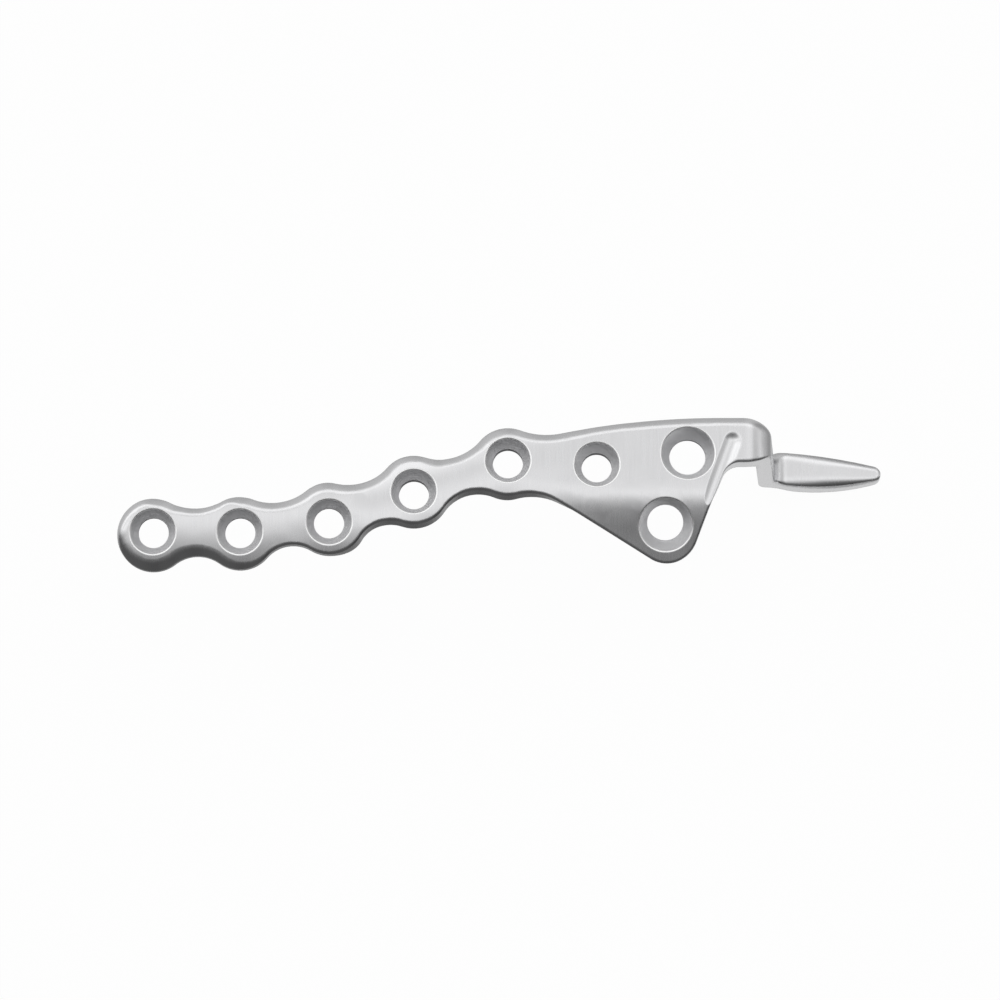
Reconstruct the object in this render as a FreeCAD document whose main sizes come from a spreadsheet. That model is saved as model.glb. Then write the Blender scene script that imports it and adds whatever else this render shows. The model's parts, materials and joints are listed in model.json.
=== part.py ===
"""Hook plate for the outer end of the collar bone, one piece of stainless steel.

A scalloped, S-curved shaft carries six screw holes. It widens into a triangular head
with two larger holes, one of them in a lug that is bent down. Beside the head a neck
bends away from the plate's top into a drop, and the drop ends in a tapered blade.

Frame, in millimetres: the origin is the centre of the head hole beside the hook, on the
face that lies on the bone. +Z runs out of that hole, through the plate's top. +X runs
along the plate to the blade, and +Y runs to the side that the neck stands on.
"""
import FreeCAD, Part

import math
import os

import Sketcher
from FreeCAD import Placement, Rotation, Vector

NODE = "hook_plate"

# Spacing of the points that carry the plate's curved top, mm.
CONTOUR_SPACING = 1.5
# Largest distance at which two points count as one, mm.
CLOSE = 0.01
# Longest single arc of the plate's outline, degrees, so that its shoulder can vary along it.
ARC_SPAN = 30.0
# Angle at which the hollow on the neck meets the plate's top, degrees.
BRINK = 4.0
# Height of the tool that cuts it over the plate's top, mm.
SCOOP_HEADROOM = 1.0
# Places along an edge that are looked at, as shares of its parameter.
SAMPLES = (0.1, 0.5, 0.9)
# Share of the plate's thickness below which an edge in a bore is its lower rim.
LOW_RIM = 0.9
# Reach of a bore's cutter to both sides of the mouth, in plate thicknesses.
BORE_REACH = 2
# Fineness of the plate's offset underside, mm.
OFFSET_TOLERANCE = 0.001
# Degree of the curved top.
DEGREE = 3
# Flat ring kept between a hole's rounded mouth and the shoulder beside it, mm.
RING = 0.15

# Driving dimensions: alias, value, meaning. Lengths in mm, angles in degrees.
SIZES = [
    ("plate_thickness", 3.0, "plate and neck, square to their faces"),
    ("shaft_bore", 4.1, "diameter of the six shaft holes"),
    ("shaft_seat", 6.0, "diameter of their round screw seats"),
    ("head_bore", 4.9, "diameter of the two head holes"),
    ("head_seat", 7.1, "diameter of their round screw seats"),
    ("seat_lift", 0.3, "height of a seat's centre over the plate's top"),
    ("mouth_round", 0.25, "rounding of each hole's upper rim"),
    ("exit_round", 0.2, "rounding of each hole's lower rim"),
    ("step_head", 12.42, "head hole to the next one along the plate"),
    ("step_two", 12.03, "and so on towards the free end"),
    ("step_three", 13.43, ""),
    ("step_four", 12.16, ""),
    ("step_five", 12.09, ""),
    ("step_end", 11.71, "between the last two holes"),
    ("heading_head", 7.3, "direction of each step, from the plate's long axis"),
    ("heading_two", -2.7, ""),
    ("heading_three", 18.9, ""),
    ("heading_four", 20.6, ""),
    ("heading_five", 6.5, ""),
    ("heading_end", 0.0, ""),
    ("lobe_radius", 4.87, "outline round each shaft hole"),
    ("shift_two", -0.05, "lobe's centre beside its hole, towards the neck's side"),
    ("shift_three", 0.34, ""),
    ("shift_four", 0.54, ""),
    ("shift_five", -0.1, ""),
    ("shift_end", -0.33, "the lobe at the free end"),
    ("upper_three", 2.85, "line through the lobes to each waist, on the neck's side"),
    ("upper_four", 3.29, ""),
    ("upper_five", 3.25, ""),
    ("upper_end", 3.42, ""),
    ("lower_three", 2.45, "the same on the lug's side"),
    ("lower_four", 2.76, ""),
    ("lower_five", 2.67, ""),
    ("lower_end", 2.93, ""),
    ("head_rise", 5.25, "hole line to the head's straight side, at the neck"),
    ("head_side_start", 4.5, "head hole to the place where that side starts to curve"),
    ("head_side_radius", 108.0, "that slight curve"),
    ("head_blend", 10.0, "hollow between the last lobe and that side"),
    ("lug_hole_back", 3.04, "lug hole behind the head hole"),
    ("lug_hole_reach", 9.72, "lug hole below the head hole"),
    ("lug_radius", 4.31, "the lug's round nose"),
    ("lug_nose_ahead", 0.16, "centre of that nose ahead of the lug hole"),
    ("lug_nose_below", 0.66, "and below it"),
    ("lug_heel_angle", 30.5, "lug's long edge, from the long axis"),
    ("lug_heel_blend", 7.0, "hollow between the last lobe and the long edge"),
    ("lug_front_angle", 68.5, "lug's short edge, from the long axis"),
    ("lug_fall", 21.0, "slope of the bent lug"),
    ("lug_bend_radius", 9.0, "bend of the lug, at the plate's top"),
    ("lug_bend_line", 4.8, "start of that bend, below the head hole"),
    ("end_twist", 8.5, "twist of the free end about the hole line"),
    ("neck_drop", 1.25, "hole line to the neck's lower edge"),
    ("notch_radius", 2.5, "notch between the lug and the neck"),
    ("scoop_ahead", 6.05, "hollow on the neck's top: its round end ahead of the head hole"),
    ("scoop_beside", 1.7, "and beside the hole line"),
    ("scoop_heading", 70.0, "direction of the hollow, from the long axis"),
    ("scoop_half", 1.28, "half its width, with its rounded brinks"),
    ("scoop_slope", 32.0, "steepest slope of its sides"),
    ("scoop_crest", 0.6, "rounding of its brinks"),
    ("neck_length", 7.45, "head hole to the seam between plate and hook"),
    ("bend_lead", 0.3, "level run from there to the start of the bend"),
    ("bend_radius", 3.75, "outside of the neck's bend"),
    ("inner_bend_radius", 1.5, "inside of the neck's bend"),
    ("drop_slant", 4.5, "lean of the drop towards the blade"),
    ("drop_thickness", 2.2, "square to the drop's faces"),
    ("hook_depth", 15.0, "bone-side face to the blade's top"),
    ("root_radius", 1.9, "hollow between the drop and the blade's top"),
    ("heel_radius", 5.5, "outside corner under the drop"),
    ("blade_reach", 27.35, "head hole to the blade's tip"),
    ("blade_thickness", 2.7, "at the drop"),
    ("tip_thickness", 1.9, "at the tip"),
    ("blade_upper", 5.1, "hole line to the blade's long edge, at its root"),
    ("blade_lower", 0.33, "hole line to the blade's other edge, at its root"),
    ("blade_root", 13.4, "head hole to the blade's widest place"),
    ("tip_side", 1.95, "hole line to the middle of the tip"),
    ("tip_radius", 1.15, "roundness of the tip, seen from above"),
    ("blade_bulge", 75.0, "radius of the blade's long edge"),
    ("blade_belly", 31.0, "radius of its other edge"),
    ("neck_shoulder", 6.2, "outer curve of the neck, seen from above"),
    ("root_corner", 1.8, "outer corner of the blade's root, seen from above"),
    ("root_dip", 0.9, "hollow between those two"),
    ("drop_side", 5.0, "curves of the drop's other side, seen from above"),
    ("edge_round", 1.5, "shoulder of the plate and neck"),
    ("lug_edge_round", 0.35, "the same round the lug, the notch and the drop's side"),
    ("blade_round", 1.1, "shoulder of the blade's long edge"),
    ("under_round", 0.3, "edges of the bone-side face"),
]
STEPS = ["head", "two", "three", "four", "five", "end"]


def make_sheet(doc):
    """Write the driving dimensions to a spreadsheet, one named cell each."""
    sheet = doc.addObject("Spreadsheet::Sheet", "sizes")
    for row, (alias, value, meaning) in enumerate(SIZES, start=1):
        sheet.set(f"A{row}", alias)
        sheet.set(f"B{row}", str(value))
        sheet.set(f"C{row}", meaning)
        sheet.setAlias(f"B{row}", alias)
    doc.recompute()
    return sheet


class Sizes:
    """The sheet's cells as plain attributes."""

    def __init__(self, sheet):
        for alias, _, _ in SIZES:
            setattr(self, alias, float(sheet.get(alias)))


def plan(x, y):
    """A point of the plan, seen along -Z."""
    return Vector(x, y, 0)


def unit(angle):
    """Unit vector of the plan at an angle in degrees from +X."""
    return plan(math.cos(math.radians(angle)), math.sin(math.radians(angle)))


def square_to(direction):
    """The plan direction 90 degrees to the left of another."""
    return plan(-direction.y, direction.x)


def meeting(first, first_reach, second, second_reach, side):
    """The point at two given distances from two centres, left (1) or right (-1) of the line."""
    along = second - first
    gap = along.Length
    along.normalize()
    foot = (first_reach**2 - second_reach**2 + gap**2) / (2 * gap)
    height = math.sqrt(first_reach**2 - foot**2)
    return first + along * foot + square_to(along) * (side * height)


def toward(centre, radius, target):
    """The point of a circle that faces a target."""
    way = target - centre
    way.normalize()
    return centre + way * radius


class Outline:
    """Lines and arcs laid end to end in the plan, each arc in parts no longer than a span."""

    def __init__(self, start, span=360.0):
        self.start = start
        self.here = start
        self.span = span
        self.edges = []

    def line(self, end):
        self.edges.append(Part.LineSegment(self.here, end).toShape())
        self.here = end

    def arc(self, centre, end, major_away_from=None):
        """An arc about a centre, the short way, or the long way round a given point."""
        first = self.here - centre
        last = end - centre
        begin = math.degrees(math.atan2(first.y, first.x))
        turn = (math.degrees(math.atan2(last.y, last.x)) - begin + 180) % 360 - 180
        if major_away_from is not None and (first + last).dot(major_away_from - centre) > 0:
            turn -= math.copysign(360, turn)
        parts = math.ceil(abs(turn) / self.span)
        for index in range(parts):
            through = centre + unit(begin + turn * (index + 0.5) / parts) * first.Length
            stop = end
            if index < parts - 1:
                stop = centre + unit(begin + turn * (index + 1) / parts) * first.Length
            self.edges.append(Part.Arc(self.here, through, stop).toShape())
            self.here = stop

    def face(self):
        self.line(self.start)
        return Part.Face(Part.Wire(self.edges))


def hole_centres(size):
    """Plan centres of the head hole and the six shaft holes, from the hook to the free end."""
    centres = [plan(0, 0)]
    for name in STEPS:
        step = getattr(size, "step_" + name)
        heading = getattr(size, "heading_" + name)
        centres.append(centres[-1] - unit(heading) * step)
    return centres


def lug_hole(size):
    return plan(-size.lug_hole_back, -size.lug_hole_reach)


def lobe_centres(size):
    """Plan centres of the outline's lobes, from the head to the free end."""
    centres = []
    for name, hole in zip(STEPS[1:], hole_centres(size)[2:]):
        centres.append(hole + plan(0, getattr(size, "shift_" + name)))
    return centres


def waist_arc(first, second, half_width, radius, side):
    """Centre of the hollow between two lobes that leaves a given half width."""
    gap = (second - first).Length
    hollow = (half_width**2 + gap**2 / 4 - radius**2) / (2 * (radius - half_width))
    return meeting(first, radius + hollow, second, radius + hollow, side)


def plate_outline(size):
    """Plan outline of the shaft, head and lug, up to the neck's bend."""
    lobes = lobe_centres(size)
    lobe = size.lobe_radius
    last = lobes[0]

    upper, lower = [], []
    for name, right, left in zip(STEPS[2:], lobes, lobes[1:]):
        upper.append(waist_arc(right, left, getattr(size, "upper_" + name), lobe, -1))
        lower.append(waist_arc(right, left, getattr(size, "lower_" + name), lobe, 1))

    side_centre = plan(size.head_side_start, size.head_rise - size.head_side_radius)
    side_blend = meeting(last, lobe + size.head_blend, side_centre,
                         size.head_side_radius + size.head_blend, 1)

    heel_way = unit(-size.lug_heel_angle)
    heel_out = -square_to(heel_way)
    lug = lug_hole(size) + plan(size.lug_nose_ahead, -size.lug_nose_below)
    heel_end = lug + heel_out * size.lug_radius
    blend_line = heel_end + heel_out * size.lug_heel_blend
    from_last = blend_line - last
    run = from_last.dot(heel_way)
    reach = lobe + size.lug_heel_blend
    heel_blend = blend_line - heel_way * (run - math.sqrt(run**2 - from_last.Length**2 + reach**2))
    heel_start = heel_blend - heel_out * size.lug_heel_blend

    front_way = unit(size.lug_front_angle)
    front_out = -square_to(front_way)
    front_start = lug + front_out * size.lug_radius
    notch_line = front_start + front_out * size.notch_radius
    notch_y = -size.neck_drop - size.notch_radius
    notch = notch_line + front_way * ((notch_y - notch_line.y) / front_way.y)
    front_end = notch - front_out * size.notch_radius

    out = Outline(plan(size.neck_length, -size.neck_drop), ARC_SPAN)
    out.line(plan(size.neck_length, size.head_rise))
    out.line(plan(size.head_side_start, size.head_rise))
    out.arc(side_centre, toward(side_centre, size.head_side_radius, side_blend))
    out.arc(side_blend, toward(last, lobe, side_blend))
    for index, hollow in enumerate(upper):
        out.arc(lobes[index], toward(lobes[index], lobe, hollow))
        out.arc(hollow, toward(lobes[index + 1], lobe, hollow))
    out.arc(lobes[-1], toward(lobes[-1], lobe, lower[-1]), major_away_from=lobes[-2])
    for index in reversed(range(len(lower))):
        out.arc(lower[index], toward(lobes[index], lobe, lower[index]))
        hollow = lower[index - 1] if index else heel_blend
        out.arc(lobes[index], toward(lobes[index], lobe, hollow))
    out.arc(heel_blend, heel_start)
    out.line(heel_end)
    out.arc(lug, front_start)
    out.line(front_end)
    out.arc(notch, plan(notch.x, -size.neck_drop))
    return out.face()


def hook_outline(size):
    """Plan outline of the neck's end, the drop and the blade."""
    start = size.neck_length
    tip = plan(size.blade_reach - size.tip_radius, size.tip_side)
    bulge = size.blade_bulge
    belly = size.blade_belly
    upper_root = plan(size.blade_root, size.blade_upper)
    lower_root = plan(size.blade_root, size.blade_lower)
    upper_side = meeting(upper_root, bulge, tip, bulge - size.tip_radius, -1)
    lower_side = meeting(lower_root, belly, tip, belly - size.tip_radius, 1)

    shoulder = plan(start, size.head_rise - size.neck_shoulder)
    corner = toward(upper_side, bulge - size.root_corner, upper_root)
    dip = meeting(shoulder, size.neck_shoulder + size.root_dip,
                  corner, size.root_corner + size.root_dip, 1)

    side_turn = plan(start + size.bend_lead, size.drop_side - size.neck_drop)
    side_hollow = meeting(side_turn, 2 * size.drop_side, lower_side, belly + size.drop_side, -1)

    out = Outline(plan(start, -size.neck_drop))
    out.line(plan(side_turn.x, -size.neck_drop))
    out.arc(side_turn, toward(side_turn, size.drop_side, side_hollow))
    out.arc(side_hollow, toward(lower_side, belly, side_hollow))
    out.arc(lower_side, toward(tip, size.tip_radius, tip * 2 - lower_side))
    out.arc(tip, toward(tip, size.tip_radius, tip * 2 - upper_side), major_away_from=corner)
    out.arc(upper_side, toward(upper_side, bulge, corner))
    out.arc(corner, toward(corner, size.root_corner, dip))
    out.arc(dip, toward(shoulder, size.neck_shoulder, dip))
    out.arc(shoulder, plan(start, size.head_rise))
    return out.face()


def fade(start, end, x):
    """0 at the start, 1 at the end, with a level run at both."""
    share = min(1.0, max(0.0, (x - start) / (end - start)))
    return share * share * (3 - 2 * share)


def hole_line(holes, x):
    """The plan's y on the line through the hole centres."""
    for right, left in zip(holes, holes[1:]):
        if x >= left.x:
            share = (x - left.x) / (right.x - left.x)
            return left.y + (right.y - left.y) * min(1.0, share)
    return holes[-1].y


def lug_depth(size, below, angle):
    """How far a face bent down by an angle lies under its plane, past the bend's start."""
    radius = size.lug_bend_radius
    bent = radius * math.sin(angle)
    if below <= 0:
        return 0.0
    if below < bent:
        return radius - math.sqrt(radius**2 - below**2)
    return radius * (1 - math.cos(angle)) + math.tan(angle) * (below - bent)


def top_height(size, holes, x, y):
    """Height of the plate's top: level, twisted towards the free end and bent down at the lug."""
    level_from = holes[3].x - size.lobe_radius
    twist = math.radians(size.end_twist) * (1 - fade(holes[4].x, level_from, x))
    slope = math.radians(size.lug_fall) * fade(holes[2].x, holes[1].x, x)
    twisted = math.tan(twist) * (y - hole_line(holes, x))
    return size.plate_thickness + twisted - lug_depth(size, -size.lug_bend_line - y, slope)


def spline_row(low, high):
    """Knots, multiplicities and pole places of one direction of the curved top."""
    spans = max(1, math.ceil((high - low) / CONTOUR_SPACING))
    knots = [low + (high - low) * index / spans for index in range(spans + 1)]
    mults = [DEGREE + 1] + [1] * (spans - 1) + [DEGREE + 1]
    full = [low] * DEGREE + knots + [high] * DEGREE
    places = [sum(full[index + 1:index + DEGREE + 1]) / DEGREE for index in range(spans + DEGREE)]
    return knots, mults, places


def contour_surface(size):
    """The plate's top as one smooth surface, whose parameters are the plan's x and y."""
    holes = hole_centres(size)
    margin = 2 * size.lobe_radius
    x_knots, x_mults, x_places = spline_row(holes[-1].x - margin, size.neck_length + margin)
    low = min(-size.lug_hole_reach, holes[-1].y) - margin
    y_knots, y_mults, y_places = spline_row(low, size.head_rise + margin)
    poles = [[Vector(x, y, top_height(size, holes, x, y)) for y in y_places] for x in x_places]
    surface = Part.BSplineSurface()
    surface.buildFromPolesMultsKnots(poles, x_mults, y_mults, x_knots, y_knots, False, False,
                                     DEGREE, DEGREE)
    return surface


def side_point(x, z):
    """A point of the hook's side view."""
    return Vector(x, z, 0)


def hook_side_points(size):
    """Corners and arc centres of the hook's side view, as x and height."""
    lean = math.radians(size.drop_slant)
    down = side_point(math.sin(lean), -math.cos(lean))
    out = side_point(math.cos(lean), math.sin(lean))
    top = size.plate_thickness
    blade_top = -size.hook_depth

    bend = side_point(size.neck_length + size.bend_lead, top - size.bend_radius)
    bend_end = bend + out * size.bend_radius
    root_fall = bend_end.y + size.root_radius * out.y - (blade_top + size.root_radius)
    root = bend_end + out * size.root_radius + down * (root_fall / math.cos(lean))

    tip_low = side_point(size.blade_reach + size.tip_radius, blade_top - size.tip_thickness)
    heel_low = side_point(root.x, blade_top - size.blade_thickness)
    under = heel_low - tip_low
    under.normalize()
    under_in = side_point(-under.y, under.x) * -1

    inside = bend_end - out * size.drop_thickness
    inner_fall = inside.y + size.inner_bend_radius - size.inner_bend_radius * out.y
    inner = inside - out * size.inner_bend_radius + down * (inner_fall / math.cos(lean))
    heel_base = heel_low + under_in * size.heel_radius
    heel_start = inside + out * size.heel_radius
    gap = heel_base - heel_start
    heel_fall = (gap.x * under.y - gap.y * under.x) / (down.x * under.y - down.y * under.x)
    heel = heel_start + down * heel_fall
    return {
        "bend": bend,
        "bend_end": bend_end,
        "root": root,
        "root_start": root - out * size.root_radius,
        "tip_top": side_point(tip_low.x, blade_top),
        "tip_low": tip_low,
        "heel": heel,
        "heel_low": heel - under_in * size.heel_radius,
        "heel_high": heel - out * size.heel_radius,
        "inner": inner,
        "inner_low": inner + out * size.inner_bend_radius,
    }


def add_shape(doc, name, shape):
    """An object that holds a shape worked out in this file."""
    item = doc.addObject("Part::Feature", name)
    item.Shape = shape
    return item


def add_extrusion(doc, name, base, direction, forward, backward):
    """A profile pushed out both ways by cells or sums of cells."""
    item = doc.addObject("Part::Extrusion", name)
    item.Base = base
    item.DirMode = "Custom"
    item.Dir = direction
    item.Solid = True
    item.setExpression("LengthFwd", forward)
    item.setExpression("LengthRev", backward)
    return item


def add_pair(doc, kind, name, base, tool):
    """A boolean of two objects."""
    item = doc.addObject(kind, name)
    item.Base = base
    item.Tool = tool
    return item


def add_fillet(doc, name, base, radii):
    """Rounded edges: pairs of an edge number and its two end radii."""
    item = doc.addObject("Part::Fillet", name)
    item.Base = base
    item.Edges = radii
    return item


def draw_side(doc, size):
    """The hook's side view as a sketch in the XZ plane, with its sizes bound to the sheet."""
    at = hook_side_points(size)
    start = size.neck_length
    top = size.plate_thickness
    lean = math.radians(size.drop_slant)
    under_angle = math.atan2(at["heel_low"].y - at["heel"].y, at["heel_low"].x - at["heel"].x)

    sketch = doc.addObject("Sketcher::SketchObject", "hook_side")
    sketch.Placement = Placement(Vector(0, 0, 0), Rotation(Vector(1, 0, 0), 90))

    def line(first, last):
        return sketch.addGeometry(Part.LineSegment(first, last))

    def arc(centre, radius, low, high):
        circle = Part.Circle(centre, Vector(0, 0, 1), radius)
        return sketch.addGeometry(Part.ArcOfCircle(circle, low, high))

    seam = line(side_point(start, 0), side_point(start, top))
    lead = line(side_point(start, top), side_point(at["bend"].x, top))
    bend = arc(at["bend"], size.bend_radius, lean, math.pi / 2)
    front = line(at["bend_end"], at["root_start"])
    root = arc(at["root"], size.root_radius, math.pi + lean, 3 * math.pi / 2)
    blade = line(side_point(at["root"].x, at["tip_top"].y), at["tip_top"])
    tip = line(at["tip_top"], at["tip_low"])
    under = line(at["tip_low"], at["heel_low"])
    heel = arc(at["heel"], size.heel_radius, math.pi + lean, 2 * math.pi + under_angle)
    back = line(at["heel_high"], at["inner_low"])
    inner = arc(at["inner"], size.inner_bend_radius, lean, math.pi / 2)
    bone = line(side_point(at["inner"].x, 0), side_point(start, 0))

    def join(first, first_end, second, second_end, kind="Coincident"):
        sketch.addConstraint(Sketcher.Constraint(kind, first, first_end, second, second_end))

    join(seam, 2, lead, 1)
    join(lead, 2, bend, 2, "Tangent")
    join(bend, 1, front, 1, "Tangent")
    join(front, 2, root, 1, "Tangent")
    join(root, 2, blade, 1, "Tangent")
    join(blade, 2, tip, 1)
    join(tip, 2, under, 1)
    join(under, 2, heel, 2, "Tangent")
    join(heel, 1, back, 1, "Tangent")
    join(back, 2, inner, 1, "Tangent")
    join(inner, 2, bone, 1, "Tangent")
    join(bone, 2, seam, 1)
    for edge in (seam, tip):
        sketch.addConstraint(Sketcher.Constraint("Vertical", edge))
    for edge in (lead, blade, bone):
        sketch.addConstraint(Sketcher.Constraint("Horizontal", edge))
    sketch.addConstraint(Sketcher.Constraint("Parallel", front, back))
    sketch.addConstraint(Sketcher.Constraint("PointOnObject", seam, 1, -1))

    def bind(expression, *constraint):
        index = sketch.addConstraint(Sketcher.Constraint(*constraint))
        sketch.setExpression(f"Constraints[{index}]", expression)

    bind("sizes.neck_length", "DistanceX", -1, 1, seam, 1, start)
    bind("sizes.plate_thickness", "DistanceY", seam, 1, seam, 2, top)
    bind("sizes.bend_lead", "DistanceX", lead, 1, lead, 2, size.bend_lead)
    bind("sizes.bend_radius", "Radius", bend, size.bend_radius)
    bind("(sizes.drop_slant - 90) * 1 deg", "Angle", front, lean - math.pi / 2)
    bind("sizes.root_radius", "Radius", root, size.root_radius)
    bind("sizes.hook_depth", "DistanceY", blade, 1, -1, 1, size.hook_depth)
    bind("sizes.blade_reach + sizes.tip_radius", "DistanceX", -1, 1, blade, 2, at["tip_top"].x)
    bind("sizes.tip_thickness", "DistanceY", tip, 2, tip, 1, size.tip_thickness)
    bind("sizes.blade_thickness", "Distance", blade, 1, under, size.blade_thickness)
    bind("sizes.heel_radius", "Radius", heel, size.heel_radius)
    bind("sizes.drop_thickness", "Distance", back, 2, front, size.drop_thickness)
    bind("sizes.inner_bend_radius", "Radius", inner, size.inner_bend_radius)
    return sketch


def largest_faces(shape):
    """The two largest faces of a plate, the upper one first."""
    pair = sorted(shape.Faces, key=lambda face: face.Area)[-2:]
    return sorted(pair, key=lambda face: -face.CenterOfMass.z)


def along(edge, share):
    """The point at a share of an edge's length of parameter."""
    return edge.valueAt(edge.FirstParameter + (edge.LastParameter - edge.FirstParameter) * share)


def on_seam(size, edge):
    """Whether an edge lies in the plane where the plate meets the hook."""
    return all(abs(along(edge, share).x - size.neck_length) < CLOSE for share in (0, 0.5, 1))


def edge_number(shape, edge):
    """The number by which a fillet names an edge of a shape."""
    for number, other in enumerate(shape.Edges, start=1):
        if other.isSame(edge):
            return number
    raise ValueError("the edge isn't part of the shape")


def rounding(shape, edges, radius_at):
    """Fillet entries of some edges, in order, with the radius wanted at each of their ends."""
    return sorted((edge_number(shape, edge), radius_at(along(edge, 0)), radius_at(along(edge, 1)))
                  for edge in edges)


def plate_rounding(size, shape):
    """Shoulders of the plate's top, smaller round the lug, and the edges under it."""
    upper, lower = largest_faces(shape)
    holes = hole_centres(size)
    lug_side = holes[2].x + size.lobe_radius
    mouth = size.shaft_seat / 2 + size.mouth_round + RING

    def shoulder(point):
        if point.y < 0 and point.x > lug_side:
            return size.lug_edge_round
        room = min((plan(point.x, point.y) - hole).Length for hole in holes[2:]) - mouth
        return min(size.edge_round, room)

    def under(point):
        return size.under_round

    top_edges = [edge for edge in upper.OuterWire.Edges if not on_seam(size, edge)]
    low_edges = [edge for edge in lower.OuterWire.Edges if not on_seam(size, edge)]
    return sorted(rounding(shape, top_edges, shoulder) + rounding(shape, low_edges, under))


def hook_rounding(size, shape):
    """Shoulders down the neck, the drop and the blade, and the edges on the side of the bone."""
    bend_low = size.plate_thickness - size.bend_radius
    root_high = size.root_radius - size.hook_depth
    tip_start = size.blade_reach - size.tip_radius - CLOSE

    def shoulder(point):
        if point.y < size.tip_side or point.x > tip_start:
            return size.lug_edge_round
        share = min(1.0, max(0.0, (point.z - root_high) / (bend_low - root_high)))
        return size.blade_round + (size.edge_round - size.blade_round) * share

    def under(point):
        return size.under_round

    walls, outer, inner = [], [], []
    for face in shape.Faces:
        first_u, last_u, first_v, last_v = face.ParameterRange
        normal = face.normalAt((first_u + last_u) / 2, (first_v + last_v) / 2)
        upright = max(abs(face.normalAt(u, v).z) for u in (first_u, last_u) for v in (first_v, last_v))
        if all(on_seam(size, edge) for edge in face.Edges):
            continue
        if upright < CLOSE and abs(normal.z) < CLOSE:
            walls += face.Edges
        elif normal.x + normal.z > 0:
            outer += face.Edges
        else:
            inner += face.Edges

    def beside_walls(edges):
        return [edge for edge in edges if any(edge.isSame(wall) for wall in walls)]

    return sorted(rounding(shape, beside_walls(outer), shoulder)
                  + rounding(shape, beside_walls(inner), under))


def screw_holes(size, surface):
    """Kind, mouth centre and outward axis of each hole."""
    kinds = ["head"] + ["shaft"] * len(STEPS) + ["head"]
    holes = []
    for kind, centre in zip(kinds, hole_centres(size) + [lug_hole(size)]):
        axis = surface.normal(centre.x, centre.y)
        if axis.z < 0:
            axis = -axis
        holes.append((kind, surface.value(centre.x, centre.y), axis))
    return holes


def add_cutters(doc, size, holes):
    """A straight bore and a round seat for each hole."""
    cutters = []
    for number, (kind, mouth, axis) in enumerate(holes, start=1):
        turn = Rotation(Vector(0, 0, 1), axis)
        bore = doc.addObject("Part::Cylinder", f"bore_{number}")
        bore.setExpression("Radius", f"sizes.{kind}_bore / 2")
        bore.setExpression("Height", f"sizes.plate_thickness * {2 * BORE_REACH}")
        bore.Placement = Placement(mouth - axis * (BORE_REACH * size.plate_thickness), turn)
        seat = doc.addObject("Part::Sphere", f"seat_{number}")
        seat.setExpression("Radius", f"sqrt(sizes.{kind}_seat ^ 2 / 4 + sizes.seat_lift ^ 2)")
        seat.Placement = Placement(mouth + axis * size.seat_lift, turn)
        cutters.append(add_pair(doc, "Part::Fuse", f"cutter_{number}", bore, seat))
    tool = doc.addObject("Part::MultiFuse", "cutters")
    tool.Shapes = cutters
    return tool


def from_axis(point, mouth, axis):
    """Distance of a point from a hole's axis, and its height over the mouth."""
    height = (point - mouth).dot(axis)
    return (point - mouth - axis * height).Length, height


def rim_rounding(size, shape, holes):
    """Upper and lower rims of all the screw holes."""
    entries = []
    for kind, mouth, axis in holes:
        bore = getattr(size, kind + "_bore") / 2
        seat = getattr(size, kind + "_seat") / 2
        ball = math.hypot(seat, size.seat_lift)
        centre = mouth + axis * size.seat_lift
        for number, edge in enumerate(shape.Edges, start=1):
            points = [along(edge, share) for share in SAMPLES]
            places = [from_axis(point, mouth, axis) for point in points]
            on_ball = all(abs((point - centre).Length - ball) < CLOSE for point in points)
            on_bore = all(abs(reach - bore) < CLOSE for reach, _ in places)
            wide = min(reach for reach, _ in places) > (bore + seat) / 2
            level = max(height for _, height in places)
            if on_ball and wide:
                entries.append((number, size.mouth_round, size.mouth_round))
            elif on_bore and level < -size.plate_thickness * LOW_RIM:
                entries.append((number, size.exit_round, size.exit_round))
    return entries


def add_plate(doc, size):
    """The shaft, head and lug, up to the seam."""
    surface = contour_surface(size)
    contour = add_shape(doc, "contour", surface.toShape())
    outline = add_shape(doc, "plate_outline", plate_outline(size))
    reach = "sizes.lug_hole_reach + sizes.lug_nose_below + sizes.lug_radius + sizes.plate_thickness"
    prism = add_extrusion(doc, "plate_prism", outline, Vector(0, 0, 1), reach, reach)
    plate_top = add_pair(doc, "Part::Common", "plate_top", contour, prism)
    doc.recompute()

    # The walls stand square to the curved top, as on a plate cut flat and then bent.
    top_face = plate_top.Shape.Faces[0]
    thick = top_face.makeOffsetShape(-size.plate_thickness, OFFSET_TOLERANCE, fill=True)
    blank = add_shape(doc, "plate_blank", thick.toNurbs())
    holes = screw_holes(size, surface)
    drilled = add_pair(doc, "Part::Cut", "plate_drilled", blank, add_cutters(doc, size, holes))
    doc.recompute()

    rounded = add_fillet(doc, "plate_rounded", drilled, plate_rounding(size, drilled.Shape))
    doc.recompute()
    return add_fillet(doc, "plate", rounded, rim_rounding(size, rounded.Shape, holes))


def add_hook(doc, size):
    """The neck's end, the drop and the blade, from the seam on."""
    across = "sizes.head_rise + sizes.neck_drop"
    strip = add_extrusion(doc, "hook_strip", draw_side(doc, size), Vector(0, 1, 0), across, across)
    outline = add_shape(doc, "hook_outline", hook_outline(size))
    prism = add_extrusion(doc, "hook_prism", outline, Vector(0, 0, 1), "sizes.plate_thickness * 2",
                          "sizes.hook_depth + sizes.blade_thickness * 2")
    blank = add_pair(doc, "Part::Common", "hook_blank", strip, prism)
    doc.recompute()
    return add_fillet(doc, "hook", blank, hook_rounding(size, blank.Shape))


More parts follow.
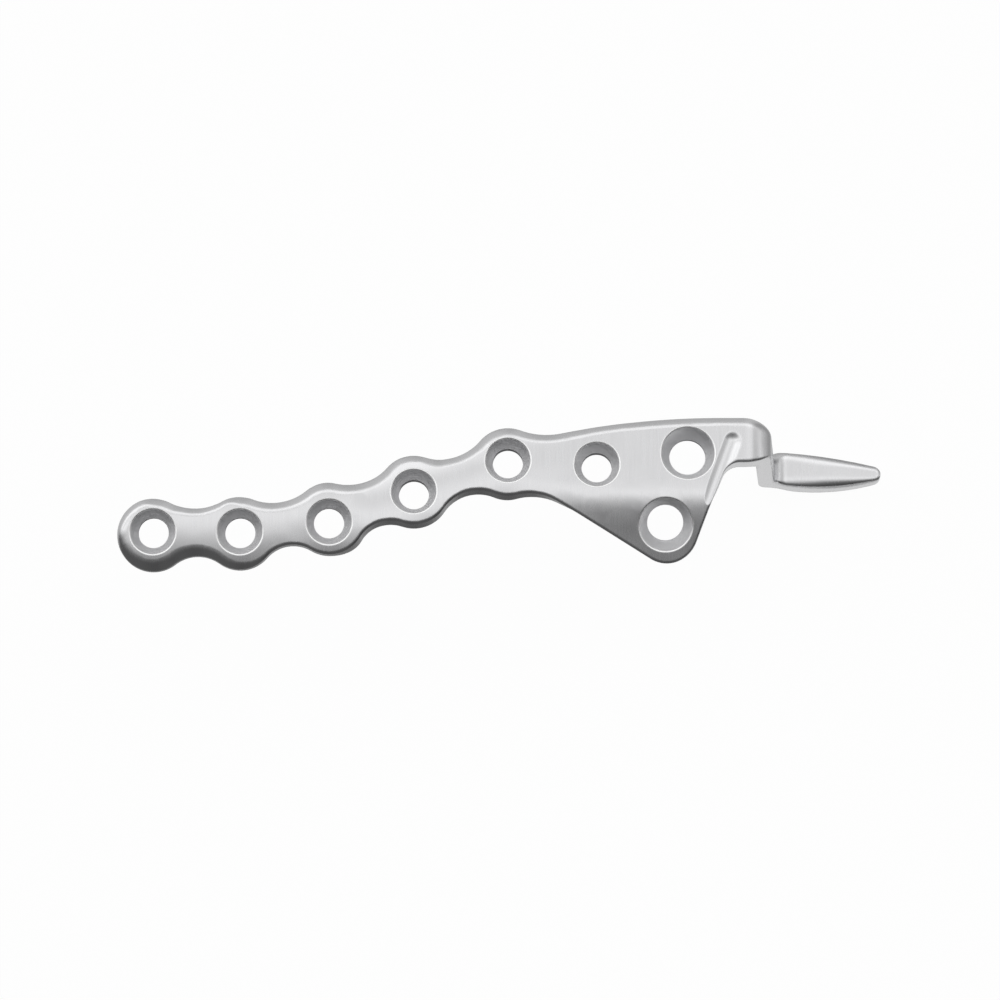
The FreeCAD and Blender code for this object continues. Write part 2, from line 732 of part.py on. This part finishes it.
def scoop_section(size, side):
    """Section of the neck's hollow on one side of its middle, as edges from its bottom up."""
    rise = math.radians(size.scoop_slope)
    brink = math.radians(BRINK)
    crest = size.scoop_crest
    top = size.plate_thickness
    bowl = (size.scoop_half - crest * (math.sin(rise) - math.sin(brink))) / math.sin(rise)
    depth = bowl * (1 - math.cos(rise)) + crest * (math.cos(brink) - math.cos(rise))
    centre = plan(size.scoop_ahead, size.scoop_beside)
    across = square_to(unit(size.scoop_heading)) * side

    def at(out, height):
        return centre + across * out + Vector(0, 0, height)

    def on_bowl(angle):
        return at(bowl * math.sin(angle), top - depth + bowl * (1 - math.cos(angle)))

    def on_crest(angle):
        out = size.scoop_half + crest * (math.sin(brink) - math.sin(angle))
        return at(out, top + crest * (math.cos(angle) - math.cos(brink)))

    lip = at(size.scoop_half + SCOOP_HEADROOM, top + SCOOP_HEADROOM * math.tan(brink))
    high = at(size.scoop_half + SCOOP_HEADROOM, top + SCOOP_HEADROOM)
    return [Part.Arc(on_bowl(0), on_bowl(rise / 2), on_bowl(rise)).toShape(),
            Part.Arc(on_crest(rise), on_crest((rise + brink) / 2), on_crest(brink)).toShape(),
            Part.LineSegment(on_crest(brink), lip).toShape(),
            Part.LineSegment(lip, high).toShape(),
            Part.LineSegment(high, at(0, top + SCOOP_HEADROOM)).toShape()]


def add_scoop(doc, size):
    """The tool that cuts the hollow on the neck: a straight run with one round end."""
    left = scoop_section(size, 1)
    right = scoop_section(size, -1)
    centre = plan(size.scoop_ahead, size.scoop_beside)
    closing = Part.LineSegment(left[-1].Vertexes[-1].Point, left[0].Vertexes[0].Point).toShape()
    half = add_shape(doc, "scoop_half_section", Part.Face(Part.Wire(left + [closing])))
    both = Part.Wire(Part.__sortEdges__(left + right))
    full = add_shape(doc, "scoop_section", Part.Face(both))

    end = doc.addObject("Part::Revolution", "scoop_end")
    end.Source = half
    end.Axis = Vector(0, 0, 1)
    end.Base = centre
    end.Solid = True
    run = add_extrusion(doc, "scoop_run", full, -unit(size.scoop_heading),
                        "sizes.lug_hole_reach", "0 mm")
    return add_pair(doc, "Part::Fuse", "scoop", end, run)


def check(doc, node):
    """Stop if any object failed, or if the part isn't one sound solid."""
    for item in doc.Objects:
        if "Invalid" in item.State or "Error" in item.State:
            raise RuntimeError(f"{item.Name} failed: {item.State}")
        shape = getattr(item, "Shape", None)
        if shape is not None and (shape.isNull() or not shape.isValid()):
            raise RuntimeError(f"{item.Name} has no sound shape")
    if len(node.Shape.Solids) != 1:
        raise RuntimeError(f"{node.Name} has {len(node.Shape.Solids)} solids")


def main():
    doc = FreeCAD.newDocument("hook_plate")
    sheet = make_sheet(doc)
    size = Sizes(sheet)
    plate = add_plate(doc, size)
    hook = add_hook(doc, size)
    whole = add_pair(doc, "Part::Fuse", "plate_and_hook", plate, hook)
    node = add_pair(doc, "Part::Cut", NODE, whole, add_scoop(doc, size))
    node.Label = NODE
    doc.recompute()
    check(doc, node)

    os.makedirs("parts", exist_ok=True)
    node.Shape.exportStep(f"parts/{NODE}.step")
    box = node.Shape.BoundBox
    print(f"{NODE}: {node.Shape.Volume:.1f} mm3, {len(node.Shape.Faces)} faces")
    print(f"box {box.XLength:.2f} x {box.YLength:.2f} x {box.ZLength:.2f} mm")
    for kind, mouth, axis in screw_holes(size, contour_surface(size)):
        print(kind, [round(value, 3) for value in mouth], [round(value, 4) for value in axis])


main()
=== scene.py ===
"""Looks of the hook plate: satin polished surgical steel over white paper, in soft studio light.

Lengths are metres in the part's own frame: the origin is the centre of the head hole
beside the hook, +Z runs out of the plate's top, and +X runs along the plate to the blade.
"""
import json
import math

import bpy
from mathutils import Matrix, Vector


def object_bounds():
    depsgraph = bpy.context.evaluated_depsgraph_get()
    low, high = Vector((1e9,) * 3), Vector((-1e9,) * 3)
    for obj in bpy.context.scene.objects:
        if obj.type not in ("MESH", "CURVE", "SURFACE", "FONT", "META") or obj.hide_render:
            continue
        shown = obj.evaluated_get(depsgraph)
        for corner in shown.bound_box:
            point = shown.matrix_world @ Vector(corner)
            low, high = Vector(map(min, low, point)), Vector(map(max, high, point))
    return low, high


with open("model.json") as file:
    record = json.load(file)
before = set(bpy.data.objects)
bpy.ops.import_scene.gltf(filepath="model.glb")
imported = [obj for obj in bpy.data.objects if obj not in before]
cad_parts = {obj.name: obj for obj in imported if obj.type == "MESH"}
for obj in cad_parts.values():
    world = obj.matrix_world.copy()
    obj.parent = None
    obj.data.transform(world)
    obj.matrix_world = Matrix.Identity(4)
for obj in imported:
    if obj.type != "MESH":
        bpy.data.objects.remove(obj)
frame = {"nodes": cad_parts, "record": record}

MM = 0.001
PLATE = "hook_plate"

# The camera stands over the plate, a little to the front, with a long lens.
VIEW_ELEVATION = math.radians(75)
VIEW_DISTANCE = 0.700
LENS_MM = 186.5
SENSOR_MM = 36.0
# What the middle of the picture shows, from the head hole's mouth: right and up in the picture.
MIDDLE_RIGHT = -25.4 * MM
MIDDLE_UP = -6.39 * MM
MOUTH_HEIGHT = 3.0 * MM
CLIP_NEAR = 0.01
CLIP_FAR = 20.0

# Steel: colour, gloss, the grain that polishing leaves, and the slow waves of hand work.
STEEL_COLOUR = (0.72, 0.72, 0.73, 1.0)
ROUGHNESS_LOW = 0.20
ROUGHNESS_HIGH = 0.32
GRAIN_WIDTH = 0.22 * MM
GRAIN_LENGTH = 5.0 * MM
GRAIN_HEIGHT = 0.003 * MM
GRAIN_DETAIL = 3.0
WAVE_LENGTH = 5.0 * MM
WAVE_HEIGHT = 0.080 * MM
WAVE_DETAIL = 1.0
# Polishing softens the edges, and most on the hook, which starts this far along the plate.
SOFT_PLATE = 0.25 * MM
SOFT_HOOK = 0.70 * MM
HOOK_START = 4.5 * MM
HOOK_FADE = 2.0 * MM
SOFT_SAMPLES = 8
# The narrow part is polished slightly crowned about the line of its holes: its height falls by
# CROWN times the square of the distance from that line, in metres. The crown fades out between
# two places along the plate.
CROWN = 20.0
CROWN_FULL = -26.0 * MM
CROWN_GONE = -14.0 * MM
# The blade's top is polished off towards its edges: flat in the middle, BLADE_FALL lower at the
# edges. Its line and half width run evenly from its root to its tip.
BLADE_ROOT = 13.4 * MM
BLADE_TIP = 26.2 * MM
BLADE_FADE = 1.5 * MM
BLADE_MIDDLE = (2.70 * MM, 1.95 * MM)
BLADE_HALF_WIDTH = (2.40 * MM, 1.15 * MM)
BLADE_FALL = 0.22 * MM
BLADE_POWER = 4.0

# The screw seats and bores are duller, with turned rings as the cutter made them. Their colours are
# painted light and shade: the seats painted brighter than the steel, the bores darker.
SEAT_PAINTED_LIGHT_COLOUR = (0.82, 0.82, 0.83, 1.0)
BORE_PAINTED_SHADE_COLOUR = (0.48, 0.48, 0.49, 1.0)
CUT_ROUGHNESS_LOW = 0.55
CUT_ROUGHNESS_HIGH = 0.65
RING_PITCH = 0.12 * MM
RING_HEIGHT = 0.004 * MM
RING_UNEVENNESS = 3.0
RING_DETAIL = 2.0
# Each hole's rounded rim is painted bright, a painted highlight in its colour.
RIM_PAINTED_HIGHLIGHT_COLOUR = (0.95, 0.95, 0.95, 1.0)
RIM_ROUGHNESS_LOW = 0.30
RIM_ROUGHNESS_HIGH = 0.40
# Where bore, seat and rim end, in bore radii from the hole's axis.
BORE_EDGE = 1.02
SEAT_EDGE = 1.465
RIM_EDGE = 1.60
# A face nearer to square to the axis than this belongs to the plate's flat.
FLAT_COSINE = 0.995
# The places of the plate's materials in its list; the seat, bore and rim materials carry painted
# light, painted shade and a painted highlight.
POLISH, SEAT, BORE, RIM = range(4)

# The paper lies under the blade and is white for the eye. The steel shows the room instead,
# which is pale below on the far side and dark below on the camera's side.
FLOOR_SIDE = 4.0
FLOOR_GAP = 0.05 * MM
WHITE = (1.0, 1.0, 1.0, 1.0)
PAPER_COLOUR = (0.9, 0.9, 0.9, 1.0)
PAPER_GLOW_SHARE = 0.97
# A white card under the hook lights the sides of the neck, the drop and the blade.
CARD_LOW = (5.0 * MM, -32.0 * MM)
CARD_HIGH = (32.0 * MM, 3.0 * MM)
CARD_LIFT = 0.02 * MM
CARD_COLOUR = (0.75, 0.75, 0.75, 1.0)

# Brightness of the room by its angle in degrees from straight up: plus is beyond the plate,
# minus is on the camera's side.
ROOM_ACROSS = [
    (-180, 0.35),
    (-174, 0.20),
    (-166, 0.09),
    (-60, 0.08),
    (-30, 0.14),
    (-14, 0.42),
    (-2, 0.90),
    (5, 1.20),
    (15, 0.72),
    (21, 0.72),
    (27, 1.22),
    (42, 1.15),
    (52, 0.56),
    (130, 0.50),
    (165, 0.50),
    (180, 0.35),
]
HALF_TURN_DEG = 180.0
ROOM_HIGHEST = 2.0
# The same along the plate, by how far the direction leans to +X.
ROOM_ALONG = [
    (-1.00, 0.90),
    (-0.90, 1.20),
    (-0.30, 1.25),
    (0.00, 1.00),
    (0.25, 1.25),
    (0.50, 1.10),
    (0.62, 0.70),
    (0.85, 0.74),
    (1.00, 1.30),
]

cad_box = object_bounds()


def new_nodes(tree):
    """Empty a node tree and return short ways to add a node and to join two sockets."""
    tree.nodes.clear()

    def add(kind, **settings):
        node = tree.nodes.new(kind)
        for name, value in settings.items():
            setattr(node, name, value)
        return node

    return add, tree.links.new


def calculate(add, join, operation, *values):
    """A sum of one or two values, each of them a socket or a number."""
    node = add("ShaderNodeMath", operation=operation)
    for value, socket in zip(values, node.inputs):
        if isinstance(value, float):
            socket.default_value = value
        else:
            join(value, socket)
    return node.outputs[0]


def remap(add, join, value, old, new=(0.0, 1.0), kind="LINEAR"):
    """A value carried from its old range, low and high, to a new one."""
    node = add("ShaderNodeMapRange", interpolation_type=kind)
    node.inputs["From Min"].default_value, node.inputs["From Max"].default_value = old
    node.inputs["To Min"].default_value, node.inputs["To Max"].default_value = new
    join(value, node.inputs["Value"])
    return node.outputs["Result"]


def parts_of(add, join, vector):
    """The X, Y and Z of a vector."""
    node = add("ShaderNodeSeparateXYZ")
    join(vector, node.inputs[0])
    return node.outputs


def curve(add, join, value, points):
    """Straight lines through points, each a place from 0 to 1 and a level."""
    node = add("ShaderNodeFloatCurve")
    node.mapping.clip_max_y = ROOM_HIGHEST
    line = node.mapping.curves[0].points
    for index, (place, level) in enumerate(points):
        if index < len(line):
            line[index].location = (place, level)
        else:
            line.new(place, level)
    for point in line:
        point.handle_type = "VECTOR"
    node.mapping.update()
    join(value, node.inputs["Value"])
    return node.outputs["Value"]


def add_camera():
    """The photograph's view of the plate."""
    back = Vector((0.0, -math.cos(VIEW_ELEVATION), math.sin(VIEW_ELEVATION)))
    right = Vector((1.0, 0.0, 0.0))
    up = back.cross(right)
    middle = Vector((0.0, 0.0, MOUTH_HEIGHT)) + right * MIDDLE_RIGHT + up * MIDDLE_UP
    data = bpy.data.cameras.new("camera")
    data.lens = LENS_MM
    data.sensor_width = SENSOR_MM
    data.clip_start = CLIP_NEAR
    data.clip_end = CLIP_FAR
    camera = bpy.data.objects.new("camera", data)
    camera.location = middle + back * VIEW_DISTANCE
    camera.rotation_mode = "QUATERNION"
    camera.rotation_quaternion = (-back).to_track_quat("-Z", "Y")
    bpy.context.scene.collection.objects.link(camera)
    bpy.context.scene.camera = camera


def add_room():
    """The light all round: white for the eye, and a studio's bright and dark sides elsewhere."""
    world = bpy.data.worlds.new("studio")
    bpy.context.scene.world = world
    world.use_nodes = True
    add, join = new_nodes(world.node_tree)

    direction = parts_of(add, join, add("ShaderNodeTexCoord").outputs["Generated"])
    angle = calculate(add, join, "ARCTAN2", direction["Y"], direction["Z"])
    share = remap(add, join, angle, (-math.pi, math.pi))
    whole_turn = 2 * HALF_TURN_DEG
    points = [((degrees + HALF_TURN_DEG) / whole_turn, level) for degrees, level in ROOM_ACROSS]
    across = curve(add, join, share, points)
    lean = remap(add, join, direction["X"], (-1.0, 1.0))
    along = curve(add, join, lean, [((lean + 1) / 2, level) for lean, level in ROOM_ALONG])
    level = calculate(add, join, "MULTIPLY", across, along)

    room = add("ShaderNodeBackground")
    room.inputs["Color"].default_value = WHITE
    join(level, room.inputs["Strength"])
    white = add("ShaderNodeBackground")
    white.inputs["Color"].default_value = WHITE
    pick = add("ShaderNodeMixShader")
    join(add("ShaderNodeLightPath").outputs["Is Camera Ray"], pick.inputs["Fac"])
    join(room.outputs[0], pick.inputs[1])
    join(white.outputs[0], pick.inputs[2])
    output = add("ShaderNodeOutputWorld")
    join(pick.outputs[0], output.inputs["Surface"])


def new_material(name):
    """An empty material, its node tools, and a way to put a shader on its surface."""
    material = bpy.data.materials.new(name)
    material.use_nodes = True
    add, join = new_nodes(material.node_tree)

    def finish(shader):
        join(shader.outputs[0], add("ShaderNodeOutputMaterial").inputs["Surface"])

    return material, add, join, finish


def paper():
    """White paper that keeps a faint shadow."""
    material, add, join, finish = new_material("paper")
    surface = add("ShaderNodeBsdfDiffuse")
    surface.inputs["Color"].default_value = PAPER_COLOUR
    glow = add("ShaderNodeEmission")
    eye = add("ShaderNodeLightPath").outputs["Is Camera Ray"]
    share = calculate(add, join, "MULTIPLY", eye, PAPER_GLOW_SHARE)
    mixed = add("ShaderNodeMixShader")
    join(share, mixed.inputs["Fac"])
    join(surface.outputs[0], mixed.inputs[1])
    join(glow.outputs[0], mixed.inputs[2])
    finish(mixed)
    return material


def add_floor():
    """A sheet of paper just under the lowest point of the part."""
    lowest = cad_box[0].z - FLOOR_GAP
    bpy.ops.mesh.primitive_plane_add(size=FLOOR_SIDE, location=(0.0, 0.0, lowest))
    floor = bpy.context.object
    floor.name = "floor"
    floor.data.materials.append(paper())
    floor.visible_glossy = False


def add_card():
    """The white card under the hook, which only the steel sees."""
    height = cad_box[0].z - FLOOR_GAP + CARD_LIFT
    (x_low, y_low), (x_high, y_high) = CARD_LOW, CARD_HIGH
    corners = [(x_low, y_low), (x_high, y_low), (x_high, y_high), (x_low, y_high)]
    mesh = bpy.data.meshes.new("card")
    mesh.from_pydata([(x, y, height) for x, y in corners], [], [(0, 1, 2, 3)])
    material, add, _, finish = new_material("card")
    glow = add("ShaderNodeEmission")
    glow.inputs["Color"].default_value = CARD_COLOUR
    finish(glow)
    mesh.materials.append(material)
    card = bpy.data.objects.new("card", mesh)
    bpy.context.scene.collection.objects.link(card)
    card.visible_camera = False
    card.visible_diffuse = False
    card.visible_shadow = False


def metal(name, colour, gloss_range, relief):
    """Steel of one colour; relief gets the node tools and gives a pattern and a bumped normal."""
    material, add, join, finish = new_material(name)
    pattern, bumped = relief(add, join, add("ShaderNodeTexCoord").outputs["Object"])
    shader = add("ShaderNodeBsdfPrincipled")
    shader.inputs["Base Color"].default_value = colour
    shader.inputs["Metallic"].default_value = 1.0
    join(remap(add, join, pattern, (0.0, 1.0), gloss_range), shader.inputs["Roughness"])
    join(bumped, shader.inputs["Normal"])
    finish(shader)
    return material


def bump(add, join, height, normal=None, distance=1.0):
    """A bump of one height pattern, on top of another one's normal."""
    node = add("ShaderNodeBump")
    node.inputs["Distance"].default_value = distance
    join(height, node.inputs["Height"])
    if normal is not None:
        join(normal, node.inputs["Normal"])
    return node.outputs[0]


def noise(add, join, place, scale, detail):
    """A soft random pattern."""
    node = add("ShaderNodeTexNoise")
    node.inputs["Scale"].default_value = scale
    node.inputs["Detail"].default_value = detail
    join(place, node.inputs["Vector"])
    return node.outputs["Fac"]


def crown(add, join, place):
    """Height of the crown in metres under a place, below zero beside the holes' line."""
    line = sorted(
        (mount["pos_m"][0], mount["pos_m"][1])
        for mount in frame["record"]["mounts"]
        if mount["name"] != "lug_hole"
    )
    low_x, high_x = line[0][0], line[-1][0]
    low_y, high_y = min(y for _, y in line), max(y for _, y in line)
    at = parts_of(add, join, place)
    points = [((x - low_x) / (high_x - low_x), (y - low_y) / (high_y - low_y)) for x, y in line]
    share = curve(add, join, remap(add, join, at["X"], (low_x, high_x)), points)
    middle = remap(add, join, share, (0.0, 1.0), (low_y, high_y))
    beside = calculate(add, join, "SUBTRACT", at["Y"], middle)
    square = calculate(add, join, "MULTIPLY", beside, beside)
    fall = remap(add, join, at["X"], (CROWN_FULL, CROWN_GONE), (-CROWN, 0.0))
    return calculate(add, join, "MULTIPLY", square, fall)


def blade_crown(add, join, place):
    """Height of the blade's polished top in metres, below zero towards its edges."""
    at = parts_of(add, join, place)
    run = (BLADE_ROOT, BLADE_TIP)
    beside = calculate(add, join, "SUBTRACT", at["Y"], remap(add, join, at["X"], run, BLADE_MIDDLE))
    away = calculate(add, join, "ABSOLUTE", beside)
    share = calculate(add, join, "DIVIDE", away, remap(add, join, at["X"], run, BLADE_HALF_WIDTH))
    drop = calculate(add, join, "POWER", share, BLADE_POWER)
    start = (BLADE_ROOT - BLADE_FADE, BLADE_ROOT)
    fall = remap(add, join, at["X"], start, (0.0, -BLADE_FALL), "SMOOTHSTEP")
    return calculate(add, join, "MULTIPLY", drop, fall)


def softened(add, join, place):
    """The normal with edges rounded off, more on the hook than on the plate."""
    start = (HOOK_START, HOOK_START + HOOK_FADE)
    along = parts_of(add, join, place)["X"]
    width = remap(add, join, along, start, (SOFT_PLATE, SOFT_HOOK), "SMOOTHSTEP")
    node = add("ShaderNodeBevel", samples=SOFT_SAMPLES)
    join(width, node.inputs["Radius"])
    return node.outputs[0]


def polished(add, join, place):
    """A fine grain across the plate over the slow waves of hand polishing."""
    stretch = add("ShaderNodeMapping")
    stretch.inputs["Scale"].default_value = (1 / GRAIN_WIDTH, 1 / GRAIN_LENGTH, 1 / GRAIN_LENGTH)
    join(place, stretch.inputs["Vector"])
    grain = noise(add, join, stretch.outputs[0], 1.0, GRAIN_DETAIL)
    waves = noise(add, join, place, 1 / WAVE_LENGTH, WAVE_DETAIL)
    normal = bump(add, join, blade_crown(add, join, place), softened(add, join, place))
    normal = bump(add, join, crown(add, join, place), normal)
    normal = bump(add, join, waves, normal, WAVE_HEIGHT)
    return grain, bump(add, join, grain, normal, GRAIN_HEIGHT)


def turned(add, join, place):
    """Fine rings down a hole, as a cutter leaves them, a little uneven."""
    rings = add("ShaderNodeTexWave", bands_direction="Z")
    rings.inputs["Scale"].default_value = 1 / (math.pi * RING_PITCH)
    rings.inputs["Distortion"].default_value = RING_UNEVENNESS
    rings.inputs["Detail"].default_value = RING_DETAIL
    join(place, rings.inputs["Vector"])
    return rings.outputs["Fac"], bump(add, join, rings.outputs["Fac"], distance=RING_HEIGHT)


def finish_and_painted_light_of(place, normal):
    """The finish of a face: the plate's polish, or that of a seat, a bore or a rim, whose colours
    are painted light, painted shade and a painted highlight.
    """
    for mount in frame["record"]["mounts"]:
        axis = Vector(mount["axis"]).normalized()
        offset = place - Vector(mount["pos_m"])
        beside = offset - axis * offset.dot(axis)
        radii = beside.length / (mount["dims"]["r_mm"] * MM)
        if radii < RIM_EDGE and normal.dot(beside) < 0 and abs(normal.dot(axis)) < FLAT_COSINE:
            if radii < BORE_EDGE:
                return BORE
            return SEAT if radii < SEAT_EDGE else RIM
    return POLISH


def dress_plate():
    """Polish on the plate, the cutter's finish in its screw holes with painted light in the seats
    and painted shade in the bores, and rims with a painted highlight.
    """
    plate = frame["nodes"][PLATE]
    mesh = plate.data
    mesh.materials.clear()
    cut = (CUT_ROUGHNESS_LOW, CUT_ROUGHNESS_HIGH)
    finishes_and_painted_light = {
        POLISH: ("steel", STEEL_COLOUR, (ROUGHNESS_LOW, ROUGHNESS_HIGH), polished),
        # The seats' colour is painted light and the bores' colour painted shade.
        SEAT: ("steel_in_seats", SEAT_PAINTED_LIGHT_COLOUR, cut, turned),
        BORE: ("steel_in_bores", BORE_PAINTED_SHADE_COLOUR, cut, turned),
        # The rims' colour is a painted highlight.
        RIM: ("steel_on_rims", RIM_PAINTED_HIGHLIGHT_COLOUR, (RIM_ROUGHNESS_LOW, RIM_ROUGHNESS_HIGH), polished),
    }
    for finish in finishes_and_painted_light.values():
        mesh.materials.append(metal(*finish))
    turn = plate.matrix_world.to_3x3()
    for face in mesh.polygons:
        face.material_index = finish_and_painted_light_of(plate.matrix_world @ face.center, turn @ face.normal)


bpy.context.scene.view_settings.view_transform = "Standard"
add_camera()
add_room()
add_floor()
add_card()
dress_plate()
